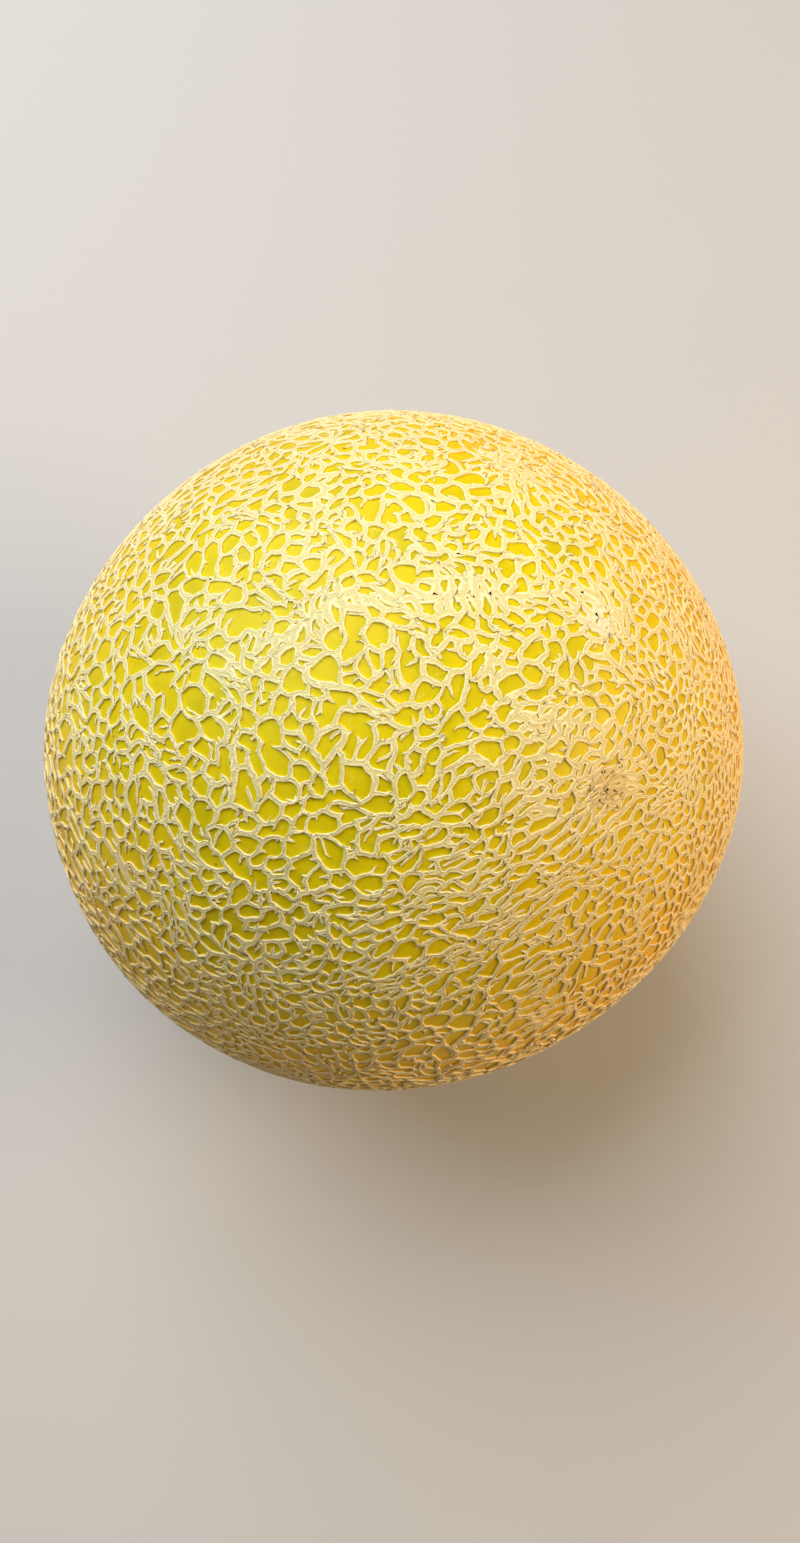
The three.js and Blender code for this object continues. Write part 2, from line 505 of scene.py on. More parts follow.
def grow_twigs(net, roots, aim, rng):
    """A line from each root knot towards its aim, and a fork at the end of some."""
    share = rng.uniform(SHORTEST_TWIG, LONGEST_TWIG, len(roots))
    root_points = net.knots[roots]
    ends = net.add_knots(tips(root_points, aim, share, TWIG_TURN, rng), TIP_GIRTH)
    net.add_lines(roots, ends, TWIG_WEIGHT)
    forked = ends[rng.random(len(ends)) < FORK_SHARE]
    net.girth[forked] = FORK_GIRTH
    way = net.knots[forked] - root_points[np.searchsorted(ends, forked)]
    for turn in (-FORK_TURN, FORK_TURN):
        aside = np.cross(net.knots[forked], way) * turn
        length = rng.uniform(*FORK_LENGTHS, (len(forked), 1))
        ahead = unit(net.knots[forked] + (way * FORK_AHEAD + aside) * length)
        net.add_lines(forked, net.add_knots(ahead, TIP_GIRTH), TWIG_WEIGHT)


def branch_lines(net, split, aim, rng):
    """Divides each line at a joint somewhere in its middle, and grows a twig there."""
    start, end = net.lines[split, 0], net.lines[split, 1]
    share = rng.uniform(*JOINT_PLACES, (len(split), 1))
    joints = net.add_knots(unit(net.knots[start] * (1 - share) + net.knots[end] * share), 1.0)
    net.add_lines(start, joints, net.weight[split])
    net.add_lines(joints, end, net.weight[split])
    grow_twigs(net, joints, aim, rng)


def add_dashes(net, middles, rng):
    """A short loose line near the middle of some openings."""
    dashed = middles[rng.random(len(middles)) < DASH_SHARE]
    push = rng.normal(size=dashed.shape) * DASH_PUSH * spacing
    reach = unit(np.cross(dashed, rng.normal(size=dashed.shape))) * DASH_REACH * spacing
    starts = net.add_knots(unit(dashed + push - reach), TIP_GIRTH)
    ends = net.add_knots(unit(dashed + push + reach), TIP_GIRTH)
    net.add_lines(starts, ends, TWIG_WEIGHT)


# %% Wear the net
BROKEN_SHARE = 0.38
TWIG_SHARE = 0.52
SUNNY_CALM = 0.75
RIDGE_FLANK = 0.06 * MM


def wildness(corners, lines):
    """How freely lines break and branch: less on the sun side, and not at all on the main
    ridges."""
    wild = 1 - SUNNY_CALM * bell(grown(corners[lines[:, 0]]), SUN_SIDE, SUN_SPREAD)
    return wild * (ridge_growth(corners[lines].mean(axis=1)) < RIDGE_FLANK)


def lines_to_break(lines, may_break, wild, rng):
    """Lines picked at random, no two of them with a knot in common."""
    chosen = np.flatnonzero(may_break & (rng.random(len(lines)) < BROKEN_SHARE * wild))
    _, first = np.unique(lines[chosen].ravel(), return_index=True)
    alone = np.isin(np.arange(2 * len(chosen)), first).reshape(-1, 2).all(axis=1)
    return chosen[alone]


def lines_to_branch(beside, may_branch, wild, rng):
    """Lines picked at random, and the opening that each one's twig grows into. No opening
    gets two."""
    split = np.flatnonzero(may_branch & (rng.random(len(beside)) < TWIG_SHARE * wild))
    opening = beside[split, rng.integers(0, 2, len(split))]
    opening, first = np.unique(opening, return_index=True)
    return split[first], opening


def worn_net(corners, lines, beside, seeds):
    """The net with some lines broken into stubs, twigs on others, and loose dashes. The lines
    round the marks stay as they are."""
    rng = np.random.default_rng(NET_SEED + 1)
    weight, minor = line_weights(beside, seeds, rng)
    net = Net(corners, lines, weight)
    wild = wildness(corners, lines)
    free = beside.min(axis=1) >= mark_seed_count
    broken = lines_to_break(lines, free & minor, wild, rng)
    leave_stubs(net, broken, rng)
    free[broken] = False
    split, opening = lines_to_branch(beside, free, wild, rng)
    branch_lines(net, split, seeds[opening], rng)
    net.drop(np.concatenate([broken, split]))
    add_dashes(net, seeds[mark_seed_count:], rng)
    return net


net = worn_net(corners, lines, beside, seeds)
print(len(net.knots), "knots and", len(net.lines), "lines after wear")

# %% [markdown]
# ## Walking round the openings
#
# Each line has two sides, and each side faces one opening. At a knot the lines leave in some
# order, and the side's walk goes on along the next one clockwise. With that rule alone every
# opening has a closed walk round it, twigs included, and the whole net can be meshed as
# strips along those walks, with array operations and no search.

# %% The order of lines at each knot
def next_sides(knots, origin, target):
    """For each side of a line, the side that follows it in the walk round its opening."""
    here = knots[origin]
    helper = np.eye(3)[np.argmin(np.abs(here), axis=1)]
    east = unit(np.cross(helper, here))
    north = np.cross(here, east)
    way = knots[target] - here
    angle = np.arctan2(np.einsum("ij,ij->i", way, north), np.einsum("ij,ij->i", way, east))
    order = np.lexsort((angle, origin))
    sorted_origin = origin[order]
    first = np.searchsorted(sorted_origin, sorted_origin, side="left")
    last = np.searchsorted(sorted_origin, sorted_origin, side="right") - 1
    place = np.arange(len(order))
    clockwise = np.empty_like(order)
    clockwise[order] = order[np.where(place == first, last, place - 1)]
    half = len(origin) // 2
    twin = np.roll(np.arange(len(origin)), half)
    return clockwise[twin], twin


line_count = len(net.lines)
origin = np.concatenate([net.lines[:, 0], net.lines[:, 1]])
target = np.concatenate([net.lines[:, 1], net.lines[:, 0]])
knot_places = grown(net.knots)
following, twin = next_sides(knot_places, origin, target)
print(len(origin), "sides of lines in their order")

# %% Number the walks
DOUBLINGS = 16


def walk_labels(following):
    """One number for each closed walk: the lowest side in it, found by jumps of doubled
    length."""
    label = np.arange(len(following))
    jump = following.copy()
    for _ in range(DOUBLINGS):
        label = np.minimum(label, label[jump])
        jump = jump[jump]
    return np.unique(label, return_inverse=True)[1]


walk = walk_labels(following)
print(walk.max() + 1, "openings and dashes after wear")

# %% Stations along each side
STATION = 0.71 * MM

line_length = np.linalg.norm(knot_places[net.lines[:, 0]] - knot_places[net.lines[:, 1]], axis=1)
degree = np.bincount(origin, minlength=len(net.knots))
loose_line = (degree[net.lines] == 1).any(axis=1)
least_steps = np.where(loose_line, 2, 1)
steps = np.maximum(least_steps, np.round(line_length * SEMI_AXES[1] / STATION)).astype(int)
side_steps = np.concatenate([steps, steps])
side_first = np.cumsum(side_steps) - side_steps
side = np.repeat(np.arange(2 * line_count), side_steps)
count = len(side)
step = np.arange(count) - side_first[side]
along = step / side_steps[side]

inner_first = len(net.knots) + np.cumsum(steps - 1) - (steps - 1)
line = side % line_count
forward = side < line_count
inner = inner_first[line] + np.where(forward, step - 1, side_steps[side] - step - 1)
spine = np.where(step == 0, origin[side], inner)
spine_count = len(net.knots) + (steps - 1).sum()

after = np.where(step < side_steps[side] - 1, np.arange(count) + 1, side_first[following[side]])
before = np.empty_like(after)
before[after] = np.arange(count)
station_walk = walk[side]
print(count, "stations on", spine_count, "spine points")

# %% Spine points, wobbled
WOBBLES = [(14 * MM, 0.5 * MM, 21), (5 * MM, 0.17 * MM, 24)]
KNOT_PUSH = 0.19 * MM


def wobbled(directions):
    """Each direction pushed aside by smooth random waves, so that no line stays straight, and
    by a small push of its own. The waves are slow enough not to fold the net over itself."""
    points = directions * SEMI_AXES[1]
    for wavelength, reach, seed in WOBBLES:
        push = np.stack([ripples(points, wavelength, seed + i) for i in range(3)], axis=-1)
        points = points + push * reach
    own_push = np.random.default_rng(NET_SEED + 4).normal(size=points.shape)
    return unit(points + own_push * KNOT_PUSH)


spine_even = np.zeros((spine_count, 3))
mix = along[:, None]
spine_even[spine] = net.knots[origin[side]] * (1 - mix) + net.knots[target[side]] * mix
spine_even = unit(spine_even)
spine_place = wobbled(grown(spine_even))
wander = np.linalg.norm(spine_place - grown(spine_even), axis=1).max() * SEMI_AXES[1]
print("the lines wander by up to", np.round(wander / MM, 2), "mm")

# %% [markdown]
# ## From lines to cork
#
# Cork swells out of both sides of a crack. So each side's stations drift away from the line
# in a few small steps, and after each step they are eased towards their neighbours along the
# walk. Corners fill into webs and the openings turn round, as they do on the fruit. Offsetting
# whole polygons would be simpler, but it breaks where a twig stands in an opening. Where a
# strip would still turn over in a tight corner, its stations are drawn back.

# %% How wide the cork grows
CORK_HALF_WIDTH = 0.38 * MM
TOP_WIDTH = 0.12 * MM
SUNNY_WIDTH = -0.05 * MM
TOP_MIDDLE = unit(np.array([0.1, 0.1, 1.0]))
TOP_SPREAD = 0.6
SLOW_WIDTH, SLOW_LENGTH = 0.05 * MM, 16 * MM
KNOBS = 0.16
PATCHES = [
    (unit(np.array([0.38, -0.51, 0.77])), 0.06, 1.4 * MM),
    (unit(np.array([0.48, -0.14, 0.86])), 0.075, 0.7 * MM),
]


def extra_growth(directions, even):
    """The extra half width on the main ridges and in the closed patches of cork."""
    patches = sum(size * bell(directions, middle, spread) for middle, spread, size in PATCHES)
    return patches + ridge_growth(even)


def cork_growth(directions):
    """The half width that cork would reach between the ridges if it had room."""
    uneven = SLOW_WIDTH * ripples(directions * SEMI_AXES[1], SLOW_LENGTH, 41)
    top = TOP_WIDTH * bell(directions, TOP_MIDDLE, TOP_SPREAD)
    sunny = SUNNY_WIDTH * bell(directions, SUN_SIDE, SUN_SPREAD)
    return CORK_HALF_WIDTH + uneven + top + sunny


def eased(values):
    """Values averaged with those of the neighbouring stations."""
    return (values[after] + 2 * values + values[before]) / 4


on_twig = loose_line[line]
place = spine_place[spine]
girth = net.girth[origin[side]] * (1 - along) + net.girth[target[side]] * along
girth = girth * net.weight[line]

rng = np.random.default_rng(NET_SEED + 2)
knobs = eased(rng.normal(size=count))
extra = extra_growth(place, spine_even[spine])
wish = (cork_growth(place) + extra) * girth * (1 + KNOBS * knobs)
print("the cork would reach", np.round(np.percentile(wish, [5, 50, 95]) / MM, 2), "mm aside")

# %% The room in each opening
OPEN_SHARE = 0.36
RIDGE_OPEN_SHARE = 0.02
FULL_RIDGE = 0.8 * MM
DASH_ROOM = 0.15 * MM
DASH_HALF_WIDTH = 0.35 * MM


def per_walk(values):
    """The sum of a value over each walk."""
    return np.bincount(station_walk, weights=values)


def walk_middles(points):
    """The average point of each walk."""
    total = np.stack([per_walk(points[:, axis]) for axis in range(3)], axis=-1)
    return total / per_walk(np.ones(count))[:, None]


def walk_room(points):
    """Twice each walk's area over its length, which is the radius of a circle like it."""
    middles = walk_middles(points)[station_walk]
    spread = np.cross(points - middles, points[after] - middles)
    area = np.einsum("ij,ij->i", spread, unit(middles)) / 2
    length = np.linalg.norm(points[after] - points, axis=-1)
    return 2 * per_walk(area) / per_walk(length)


def most_width(room):
    """How wide the cork may grow into each opening: to a share of its room, and over nearly
    all of it where a ridge is full. A loose dash has no room, and gets a width of its own."""
    no_room = room < DASH_ROOM
    most = np.where(no_room, DASH_HALF_WIDTH, (1 - OPEN_SHARE) * room)[station_walk]
    closed = (1 - RIDGE_OPEN_SHARE) * room[station_walk]
    full = np.clip(extra / FULL_RIDGE, 0, 1) * ~no_room[station_walk]
    return most + full * (closed - most)


room = walk_room(place * SEMI_AXES[1])
width = np.minimum(wish, most_width(room))
print("openings are", np.round(np.percentile(room, [5, 50, 95]) / MM, 2), "mm in radius")

# %% Drift away from the lines
DRIFTS = 5
EASE = 0.12
TWIG_EASE = 0.08
LEAST_STRIDE = 0.2
MEETINGS = 3
MEETING_SHARE = 0.45


def drift_ways(points):
    """The direction to the left of the walk at each station. At a loose end the walk turns
    back, and the direction is straight on."""
    way = points[after] - points[before]
    ahead = points - points[before]
    left = np.cross(unit(points), way)
    turned = np.linalg.norm(way, axis=-1) < 0.5 * np.linalg.norm(ahead, axis=-1)
    left[turned] = ahead[turned]
    return unit(left)


def unfolded(points, moved):
    """The moved stations. Two neighbours that would pass each other meet half way, and then
    move on side by side, as the borders of a corner do while it fills."""
    stride = points[after] - points
    for _ in range(MEETINGS):
        left_over = np.einsum("ij,ij->i", moved[after] - moved, stride)
        closing = left_over < LEAST_STRIDE * np.einsum("ij,ij->i", stride, stride)
        onward = MEETING_SHARE * closing[:, None] * (moved[after] - moved)
        backward = MEETING_SHARE * closing[before][:, None] * (moved[before] - moved)
        moved = moved + (onward + backward) / (1 + (closing & closing[before]))[:, None]
    return moved


def drifted(points, width):
    """The stations after the last drift but one, for the crests, and after the last, for the
    feet. Each drift is one of the small steps to the left of the walk."""
    stages = []
    ease = np.where(on_twig, TWIG_EASE, EASE)[:, None]
    for _ in range(DRIFTS):
        moved = points + drift_ways(points) * (width / DRIFTS)[:, None]
        moved = moved + ease * ((moved[after] + moved[before]) / 2 - moved)
        points = unfolded(points, moved)
        stages.append(unit(points))
    return stages[-2], stages[-1]


# %% Mend what would turn over
MENDS = 4
MEND_SHARE = 0.6


def turned_over(inner, outer):
    """Whether the face between two rails, from each station to the next, is inside out."""
    crossed = np.cross(outer[after] - inner, outer - inner[after])
    return np.einsum("ij,ij->i", crossed, inner) < 0


def mended(crest, foot):
    """Crests and feet drawn back towards their line where a face would turn over."""
    for _ in range(MENDS):
        bad = turned_over(place, crest) | turned_over(crest, foot)
        share = np.where(bad | bad[before], MEND_SHARE, 1.0)[:, None]
        crest = unit(place + (crest - place) * share)
        foot = unit(place + (foot - place) * share)
    return crest, foot


crest_way, foot_way = mended(*drifted(place * SEMI_AXES[1], width))
print(turned_over(place, crest_way).sum(), "of", count, "faces still turn over after mending")

# %% Heights of the cork
SKIN_LIFT = 0.2 * MM
CREST_HEIGHT = 0.36 * MM
MOST_CREST = 0.95 * MM
LEAST_GIRTH, MOST_GIRTH = 0.5, 1.1
BUMPS = 0.14
FOOT_SINK = 0.1 * MM
ROOT_SINK = 0.3 * MM
CORK_FLOOR = 0.12 * MM
GROOVE_FROM = 0.16 * MM
GROOVE_FULL = 0.42 * MM
GROOVE_SHARE = 0.55


def at_spine(values):
    """The average of the stations' values at each spine point."""
    total = np.bincount(spine, weights=values, minlength=spine_count)
    return total / np.maximum(np.bincount(spine, minlength=spine_count), 1)


bumps = eased(rng.normal(size=count))
crest = CREST_HEIGHT * np.clip(girth, LEAST_GIRTH, MOST_GIRTH) * (1 + BUMPS * bumps)
crest = np.minimum(crest, MOST_CREST)
groove = GROOVE_SHARE * np.clip((width - GROOVE_FROM) / (GROOVE_FULL - GROOVE_FROM), 0, 1)
spine_groove = at_spine(groove)
spine_crest = at_spine(crest) * (1 - spine_groove)
print("crests rise", np.round(np.percentile(crest, [5, 50, 95]) / MM, 2), "mm from the skin")

# %% Points of the four rails
RAGGED = 0.04 * MM
FOOT_LIP = 0.3


def ragged(directions, rng):
    """Stations pushed in and out at random, like the uneven border of cork."""
    points = directions * SEMI_AXES[1]
    push = RAGGED * rng.normal(size=count).clip(-2, 2)
    return unit(points + drift_ways(points) * push[:, None])


tops = placed(spine_place, SKIN_LIFT + spine_crest, CORK_FLOOR)
roots = placed(spine_place, -ROOT_SINK, 0.0)
crests = placed(ragged(crest_way, rng), SKIN_LIFT + crest, CORK_FLOOR)
feet = placed(ragged(foot_way, rng), SKIN_LIFT - FOOT_SINK, 0.0)
net_points = np.vstack([tops, roots, crests, feet])
at_line = np.zeros(spine_count)
at_station = np.ones(count)
lip = np.concatenate(
    [1 - spine_groove / GROOVE_SHARE, at_line, at_station, at_station * FOOT_LIP]
)
low = np.concatenate([at_line, at_line + 1, at_station * 0, at_station])
print(len(net_points), "points in the net")

# %% [markdown]
# ## Meshing the net
#
# Along each side three strips run round half a ridge: up from the line to the rim, down under
# the skin, and back below. The two sides of a line share its top and its root, so the halves
# close into one solid ridge. One mesh of it all would be too heavy, so the fruit is divided
# into six fields, and where two fields meet each half gets a wall.

# %% Strips and walls
TOP = spine
ROOT = spine_count + spine
CREST = 2 * spine_count + np.arange(count)
FOOT = CREST + count


def strip(first, second, stations):
    """Four-sided faces between two rails, from each station to the one after it."""
    ahead = after[stations]
    return np.stack([first[stations], first[ahead], second[ahead], second[stations]], axis=-1)


def smooth_normals(points, quads):
    """At each point the sum of the crosses of the faces' diagonals, made one long."""
    diagonals = np.cross(
        points[quads[:, 2]] - points[quads[:, 0]], points[quads[:, 3]] - points[quads[:, 1]]
    )
    corner = quads.ravel()
    each = np.repeat(diagonals, 4, axis=0)
    total = [np.bincount(corner, weights=each[:, i], minlength=len(points)) for i in range(3)]
    return unit(np.stack(total, axis=-1) + 1e-12)


everywhere = np.arange(count)
upper_rails = [TOP, CREST, FOOT]
upper = np.vstack([strip(a, b, everywhere) for a, b in zip(upper_rails, upper_rails[1:])])
net_normals = smooth_normals(net_points, upper)
print(len(upper), "faces on the net's outside")

# %% Helpers that put arrays into a mesh
BAKE_MAP = "OFBake"
MAP_HALF = 0.475
MAP_REACH = 1.25
HIDDEN_CORNER = 0.96


def disc_map(points, axis):
    """Flattens the directions round an axis onto a disc with true areas, inside 0 to 0.95."""
    directions = unit(points - MIDDLE)
    side = unit(np.cross(axis, [0.3, 0.5, 0.81]))
    other = np.cross(axis, side)
    reach = np.sqrt(2 * (1 + directions @ axis).clip(0.02)) * MAP_REACH
    flat = np.stack([directions @ side, directions @ other], axis=-1) / reach[:, None]
    return MAP_HALF + MAP_HALF * flat


def make_mesh(name, points, parts):
    """A mesh object from points and a list of parts. Each part is an array of faces with the
    same number of corners, and the places of those corners in the bake map."""
    corners = np.concatenate([faces.ravel() for faces, _ in parts])
    flat_map = np.concatenate([flat.reshape(-1, 2) for _, flat in parts])
    sizes = np.concatenate([np.full(len(faces), faces.shape[1]) for faces, _ in parts])
    mesh = bpy.data.meshes.new(name)
    mesh.vertices.add(len(points))
    mesh.vertices.foreach_set("co", points.astype(np.float32).ravel())
    mesh.loops.add(len(corners))
    mesh.loops.foreach_set("vertex_index", corners.astype(np.int32))
    mesh.polygons.add(len(sizes))
    mesh.polygons.foreach_set("loop_start", (np.cumsum(sizes) - sizes).astype(np.int32))
    mesh.polygons.foreach_set("use_smooth", np.ones(len(sizes), dtype=bool))
    mesh.update(calc_edges=True)
    layer = mesh.uv_layers.new(name=BAKE_MAP)
    layer.data.foreach_set("uv", flat_map.astype(np.float32).ravel())
    mesh.validate()
    piece = bpy.data.objects.new(name, mesh)
    bpy.context.collection.objects.link(piece)
    return piece


def set_value(piece, name, values):
    """Keeps one number for each of a mesh's points, for its material to read."""
    attribute = piece.data.attributes.new(name, "FLOAT", "POINT")
    attribute.data.foreach_set("value", values.astype(np.float32))


# %% The six fields
FIELDS = {
    "net_blossom_end": (1, 0, 0),
    "net_stem_end": (-1, 0, 0),
    "net_back": (0, 1, 0),
    "net_front": (0, -1, 0),
    "net_top": (0, 0, 1),
    "net_underside": (0, 0, -1),
}
axes = np.array(list(FIELDS.values()), dtype=float)
field = np.argmax(unit(walk_middles(place)) @ axes.T, axis=1)
own_field = field[station_walk]
other_field = field[walk[twin[side]]]


def net_field(name, number):
    """One field of the net as a closed mesh with its normals, rims and bake map."""
    mine = np.flatnonzero(own_field == number)
    shown = np.vstack([strip(a, b, mine) for a, b in zip(upper_rails, upper_rails[1:])])
    edge = mine[other_field[mine] != number]
    hidden = np.vstack([strip(FOOT, ROOT, mine), strip(ROOT, TOP, edge)])
    faces = np.vstack([shown, hidden])
    used, corners = np.unique(faces, return_inverse=True)
    points = net_points[used]
    flat = disc_map(points, axes[number])[corners.ravel()]
    flat[shown.size :] = HIDDEN_CORNER + (1 - HIDDEN_CORNER) * flat[shown.size :]
    piece = make_mesh(name, points, [(corners.reshape(faces.shape), flat)])
    set_value(piece, "lip", lip[used])
    set_value(piece, "low", low[used])
    piece.data.normals_split_custom_set_from_vertices(net_normals[used])
    return piece


net_pieces = [net_field(name, number) for number, name in enumerate(FIELDS)]
for piece in net_pieces:
    print(piece.name, 2 * len(piece.data.polygons), "triangles")

# %% [markdown]
# ## The skin in the openings
#
# Under the net the skin is smooth. It is one closed surface on a grid of turns round the
# fruit's length, a little lower than the cork's feet, so the net grows out of it everywhere.

# %% Skin
SCAR_DEPTH = 2.2 * MM
SCAR_SLOPE = 0.3
SKIN_TURNS = 240
SKIN_LEVELS = 120


def ring_faces(rings, turns):
    """The faces of a body of rings, turning left seen from outside: four-sided ones between
    the rings, and triangles round its first and its last point. Points count from the first
    one, ring by ring, to the last one."""
    ring, turn = np.meshgrid(np.arange(rings - 1), np.arange(turns), indexing="ij")
    near, onward = 1 + ring * turns, (turn + 1) % turns
    far = near + turns
    quads = np.stack([near + turn, far + turn, far + onward, near + onward], axis=-1)
    turn = np.arange(turns)
    onward = (turn + 1) % turns
    end = 1 + (rings - 1) * turns
    first = np.stack([np.zeros(turns, int), 1 + turn, 1 + onward], axis=-1)
    last = np.stack([np.full(turns, end + turns), end + onward, end + turn], axis=-1)
    return quads.reshape(-1, 4), first, last


def scar_dip(directions):
    """How far the skin sinks under the scars: all the way inside each, and none outside."""
    dip = 0.0
    for end, radius in ((STEM_END, STEM_RADIUS), (BLOSSOM_END, BLOSSOM_RADIUS)):
        reach = np.arccos(np.clip(directions @ end, -1, 1)) * body_radius(end)
        dip = dip + SCAR_DEPTH * np.clip((radius - reach) / (SCAR_SLOPE * radius), 0, 1)
    return dip


def globe_directions(turns, levels):
    """The blossom end, rings of directions round X, and the stem end."""
    turn = np.arange(turns) * 2 * np.pi / turns
    slope = (np.arange(levels) + 0.5) * np.pi / levels
    slope, turn = np.meshgrid(slope, turn, indexing="ij")
    around = np.sin(slope)
    rings = np.stack([np.cos(slope), around * np.cos(turn), around * np.sin(turn)], axis=-1)
    return np.vstack([BLOSSOM_END, rings.reshape(-1, 3), STEM_END])


def globe_map(faces, points):
    """Turn and level of each face corner as its place in the bake map. A corner's turn is
    counted on from its face's first corner, so that no face runs back over the map."""
    number = np.clip(faces - 1, 0, SKIN_TURNS * SKIN_LEVELS - 1)
    turn, level = number % SKIN_TURNS, number // SKIN_TURNS + 0.5
    turn = np.where(turn < turn.max(axis=1, keepdims=True) - SKIN_TURNS / 2, turn + SKIN_TURNS, turn)
    flat = np.stack([turn / (SKIN_TURNS + 1), level / SKIN_LEVELS], axis=-1)
    flat[faces == 0, 1] = 0.0
    flat[faces == points - 1, 1] = 1.0
    return flat


def skin_piece():
    """The closed surface under the cork's feet."""
    directions = globe_directions(SKIN_TURNS, SKIN_LEVELS)
    points = placed(directions, SKIN_LIFT - scar_dip(directions), 0.0)
    parts = ring_faces(SKIN_LEVELS, SKIN_TURNS)
    return make_mesh("skin", points, [(faces, globe_map(faces, len(points))) for faces in parts])


skin = skin_piece()
print("skin", len(skin.data.polygons), "faces")

# %% [markdown]
# ## The scars at the two ends
#
# The stem broke away cleanly and left a shallow dish of rough cork with a thick rim. At the
# other end the flower left a small flat button. Each is a height over the distance from its
# middle, turned once round, with a little roughness, and closed below.

# %% Scar shapes
SCAR_TURNS = 96
SCAR_RINGS = 30
SCAR_LOBES = [(5, 0.04, 1), (9, 0.03, 4)]
SCAR_EDGE = 0.12
SCAR_MAP_ZOOM = 6


def stem_scar_height(reach):
    """A dish with a rounded rim at four fifths of the radius."""
    rim = np.exp(-(((reach - 0.8) / 0.14) ** 2))
    dish = -0.9 * (1 - (reach / 0.75).clip(0, 1) ** 2)
    return (0.95 * rim + dish) * MM


def blossom_scar_height(reach):
    """A low button with a nub in its middle and a shallow ring round it."""
    nub = 0.35 * np.exp(-((reach / 0.2) ** 2))
    ring = -0.3 * np.exp(-(((reach - 0.45) / 0.15) ** 2))
    return (0.45 + nub + ring) * MM


def scar_piece(name, end, radius, shape, rough):
    """A disc of rings round an end, with a slightly lobed outline. The last rings turn down
    under the skin and back to the axis, so the piece is closed."""
    side = unit(np.cross(end, [0.2, 0.4, 0.9]))
    other = np.cross(end, side)
    turn = np.arange(SCAR_TURNS) * 2 * np.pi / SCAR_TURNS
    reach = np.linspace(0, 1, SCAR_RINGS)[1:]
    reach, turn = np.meshgrid(reach, turn, indexing="ij")
    lobes = sum(share * np.sin(turn * waves + start) for waves, share, start in SCAR_LOBES)
    angle = reach * (1 + lobes * reach) * radius / body_radius(end)
    way = np.cos(turn)[..., None] * side + np.sin(turn)[..., None] * other
    directions = np.cos(angle)[..., None] * end + np.sin(angle)[..., None] * way
    surface = directions * body_radius(end)
    uneven = rough * (ripples(surface, 1.5 * MM, 61) + ripples(surface, 3 * MM, 62)) / 2
    edge = np.sqrt(np.clip((1 - reach) / SCAR_EDGE, 0, 1))
    height = (SKIN_LIFT + shape(reach) + uneven) * edge - SCAR_DEPTH * (1 - edge)
    rings = placed(directions, height, 0.0)
    middle = placed(end, SKIN_LIFT + shape(np.zeros(1)), 0.0)
    below = placed(end, np.full(1, -SCAR_DEPTH), 0.0)
    points = np.vstack([middle, rings.reshape(-1, 3), below])
    flat = np.clip((disc_map(points, end) - MAP_HALF) * SCAR_MAP_ZOOM + 0.5, 0, 1)
    parts = ring_faces(SCAR_RINGS - 1, SCAR_TURNS)
    return make_mesh(name, points, [(faces, flat[faces]) for faces in parts])


stem_scar = scar_piece("stem_scar", STEM_END, STEM_RADIUS, stem_scar_height, 0.12 * MM)
blossom_scar = scar_piece(
    "blossom_scar", BLOSSOM_END, BLOSSOM_RADIUS, blossom_scar_height, 0.06 * MM
)
print("scars", len(stem_scar.data.polygons), "faces each")

# %% [markdown]
# ## Colours that the finishes share
#
# The fruit is warmer everywhere but its pale top, and warmest towards the right, in the skin and in
# the cork alike. This is partly the riper side that lay in the sun, and partly painted light: painted
# warm lamplight from the right, and a top kept pale where the window light falls. One shader group
# works that out from the place on the fruit, so that both change together. A second group gives the
# fine grain of a dry surface, as a mask for colour and a height for the bump.

# %% Node helpers


def paint(code):
    """A web colour such as c8be14 as the linear colour that a shader takes."""
    levels = np.array([int(code[i : i + 2], 16) for i in (0, 2, 4)]) / 255
    linear = np.where(levels < 0.04045, levels / 12.92, ((levels + 0.055) / 1.055) ** 2.4)
    return (*linear, 1.0)


def add(tree, kind, sockets, **settings):
    """A node with its settings. Each socket gets a value, or a link where a socket is given."""
    node = tree.nodes.new(kind)
    for name, value in settings.items():
        setattr(node, name, value)
    for name, value in sockets.items():
        if isinstance(value, bpy.types.NodeSocket):
            tree.links.new(value, node.inputs[name])
        else:
            node.inputs[name].default_value = value
    return node


def noise(tree, vector, scale, detail=2.0, roughness=0.5):
    """Smooth noise from 0 to 1 with this many waves to a metre."""
    sockets = {"Vector": vector, "Scale": scale, "Detail": detail, "Roughness": roughness}
    return add(tree, "ShaderNodeTexNoise", sockets).outputs["Fac"]


def math(tree, operation, a, b=0.0):
    """One step of arithmetic on two numbers or sockets."""
    return add(tree, "ShaderNodeMath", {0: a, 1: b}, operation=operation).outputs[0]


def rise(tree, value, low, high):
    """0 below the low value, 1 above the high one, and a smooth slope between."""
    sockets = {"Value": value, "From Min": low, "From Max": high}
    settings = {"interpolation_type": "SMOOTHSTEP"}
    return add(tree, "ShaderNodeMapRange", sockets, **settings).outputs["Result"]


def blend(tree, share, first, second):
    """The first colour where the share is 0, and the second where it is 1."""
    node = tree.nodes.new("ShaderNodeMix")
    node.data_type = "RGBA"
    for socket, value in ((node.inputs[0], share), (node.inputs[6], first), (node.inputs[7], second)):
        if isinstance(value, bpy.types.NodeSocket):
            tree.links.new(value, socket)
        else:
            socket.default_value = value
    return node.outputs[2]


def new_group(name, inputs, outputs):
    """An empty shader group with named number and vector sockets."""
    group = bpy.data.node_groups.new(name, "ShaderNodeTree")
    for label, kind in inputs.items():
        group.interface.new_socket(label, in_out="INPUT", socket_type=kind)
    for label, kind in outputs.items():
        group.interface.new_socket(label, in_out="OUTPUT", socket_type=kind)
    return group, group.nodes.new("NodeGroupInput").outputs, group.nodes.new("NodeGroupOutput").inputs


